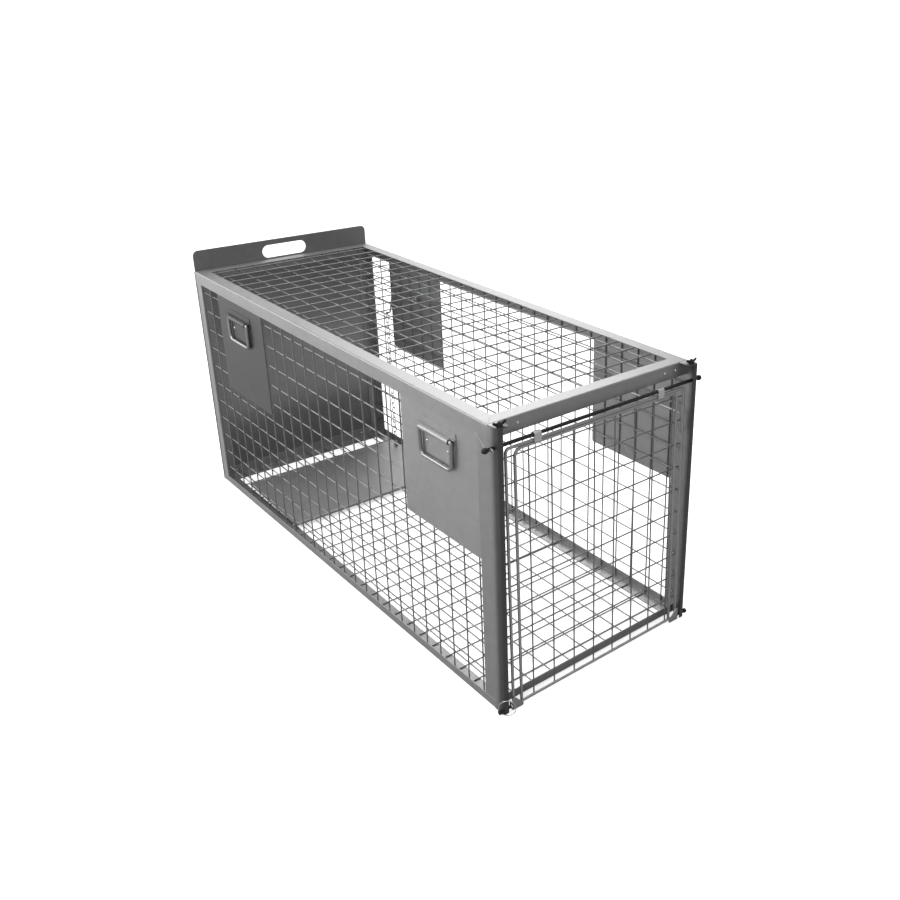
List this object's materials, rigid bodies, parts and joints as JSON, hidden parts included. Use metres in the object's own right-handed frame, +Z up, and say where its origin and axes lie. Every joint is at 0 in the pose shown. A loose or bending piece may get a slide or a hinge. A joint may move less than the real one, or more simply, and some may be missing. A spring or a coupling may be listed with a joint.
{
  "type": "kennel cage",
  "caption": "Long trap and transport cage for dogs in angle sheet and welded mesh, with a hinged mesh door, a lift-out sheet door, a treadle and drop handles.",
  "frame": {"origin": "middle of the bounding box's underside, on the floor", "axes": "+Y from the mesh door to the sheet door, +X to the right when looking along +Y, +Z up"},
  "size_m": [0.5472, 1.3196, 0.652],
  "materials": {
    "frame_steel": "satin galvanised sheet",
    "mesh_steel": "satin galvanised wire",
    "plate_steel": "satin sheet",
    "bright_steel": "bright plated wire",
    "black_steel": "black"
  },
  "bodies": {
    "frame": {"bottom_rail_front": "frame_steel", "bottom_rail_left": "frame_steel", "bottom_rail_rear": "frame_steel", "bottom_rail_right": "frame_steel", "floor_mesh": "mesh_steel", "front_post_left": "frame_steel", "front_post_right": "frame_steel", "front_rail_rivets": "bright_steel", "handle_bracket_front_left": "plate_steel", "handle_bracket_front_right": "plate_steel", "handle_bracket_rear_left": "plate_steel", "handle_bracket_rear_right": "plate_steel", "handle_plate_front_left": "frame_steel", "handle_plate_front_right": "frame_steel", "handle_plate_rear_left": "frame_steel", "handle_plate_rear_right": "frame_steel", "handle_rivets_front_left": "bright_steel", "handle_rivets_front_right": "bright_steel", "handle_rivets_rear_left": "bright_steel", "handle_rivets_rear_right": "bright_steel", "hinge_rod": "black_steel", "hinge_rod_clip": "bright_steel", "hinge_rod_nuts": "black_steel", "lever_nut": "plate_steel", "lever_stud": "plate_steel", "rear_guide_left": "frame_steel", "rear_guide_right": "frame_steel", "rear_post_left": "frame_steel", "rear_post_right": "frame_steel", "rear_sill_rivets": "bright_steel", "side_mesh_left": "mesh_steel", "side_mesh_right": "mesh_steel", "top_mesh": "mesh_steel", "top_rail_front": "frame_steel", "top_rail_left": "frame_steel", "top_rail_rear": "frame_steel", "top_rail_right": "frame_steel", "treadle_brackets": "plate_steel", "treadle_rod": "plate_steel", "wing_bolts": "black_steel", "wing_nuts": "black_steel"},
    "front_door": {"door_frame": "mesh_steel", "door_brace": "mesh_steel", "door_bottom_bar": "mesh_steel", "door_mesh": "mesh_steel", "door_hinge_loops": "plate_steel", "door_corner_brackets": "plate_steel"},
    "rear_door": {"rear_door": "plate_steel"},
    "treadle": {"treadle_plate": "plate_steel"},
    "trip_lever": {"trip_lever": "mesh_steel"},
    "pull_chain": {"pull_chain": "mesh_steel"},
    "lock_pin_left": {"lock_pin_left": "black_steel"},
    "lock_pin_right": {"lock_pin_right": "black_steel"},
    "lock_pin_ring": {"lock_pin_ring": "bright_steel"},
    "bail_front_left": {"handle_bail_front_left": "bright_steel"},
    "bail_front_right": {"handle_bail_front_right": "bright_steel"},
    "bail_rear_left": {"handle_bail_rear_left": "bright_steel"},
    "bail_rear_right": {"handle_bail_rear_right": "bright_steel"}
  },
  "joints": [
    {"name": "front_door_hinge", "type": "hinge", "parent": "frame", "child": "front_door", "pos_m": [0, -0.6295, 0.561], "axis": [-1, 0, 0], "range_deg": [0, 105]},
    {"name": "rear_door_slide", "type": "slide", "parent": "frame", "child": "rear_door", "axis": [0, 0, 1], "range_m": [0, 0.6]},
    {"name": "treadle_hinge", "type": "hinge", "parent": "frame", "child": "treadle", "pos_m": [0, 0.2655, 0.013], "axis": [1, 0, 0], "range_deg": [-1.6, 0]},
    {"name": "trip_lever_hinge", "type": "hinge", "parent": "frame", "child": "trip_lever", "pos_m": [0.236, 0.3855, 0.49356], "axis": [1, 0, 0], "range_deg": [-3.3, 0]},
    {"name": "pull_chain_hinge", "type": "hinge", "parent": "treadle", "child": "pull_chain", "pos_m": [0.215, 0.5035, 0.0302], "axis": [1, 0, 0], "range_deg": [0, 2.3]},
    {"name": "lock_pin_left_slide", "type": "slide", "parent": "frame", "child": "lock_pin_left", "axis": [-1, 0, 0], "range_m": [-0.003, 0.02]},
    {"name": "lock_pin_right_slide", "type": "slide", "parent": "frame", "child": "lock_pin_right", "axis": [1, 0, 0], "range_m": [-0.003, 0.02]},
    {"name": "lock_pin_ring_hinge", "type": "hinge", "parent": "lock_pin_left", "child": "lock_pin_ring", "pos_m": [-0.2559, -0.6385, 0.009], "axis": [0.4306, -0.3789, -0.8192], "range_deg": [0, 30]},
    {"name": "bail_front_left_hinge", "type": "hinge", "parent": "frame", "child": "bail_front_left", "pos_m": [-0.256, -0.4585, 0.53], "axis": [0, 1, 0], "range_deg": [0, 90]},
    {"name": "bail_front_right_hinge", "type": "hinge", "parent": "frame", "child": "bail_front_right", "pos_m": [0.256, -0.4585, 0.53], "axis": [0, -1, 0], "range_deg": [0, 90]},
    {"name": "bail_rear_left_hinge", "type": "hinge", "parent": "frame", "child": "bail_rear_left", "pos_m": [-0.256, 0.4005, 0.53], "axis": [0, 1, 0], "range_deg": [0, 90]},
    {"name": "bail_rear_right_hinge", "type": "hinge", "parent": "frame", "child": "bail_rear_right", "pos_m": [0.256, 0.4005, 0.53], "axis": [0, -1, 0], "range_deg": [0, 90]}
  ],
  "couplings": [
    {"joint": "trip_lever_hinge", "follows": "treadle_hinge", "ratio": 2.017},
    {"joint": "pull_chain_hinge", "follows": "treadle_hinge", "ratio": -1.35}
  ]
}
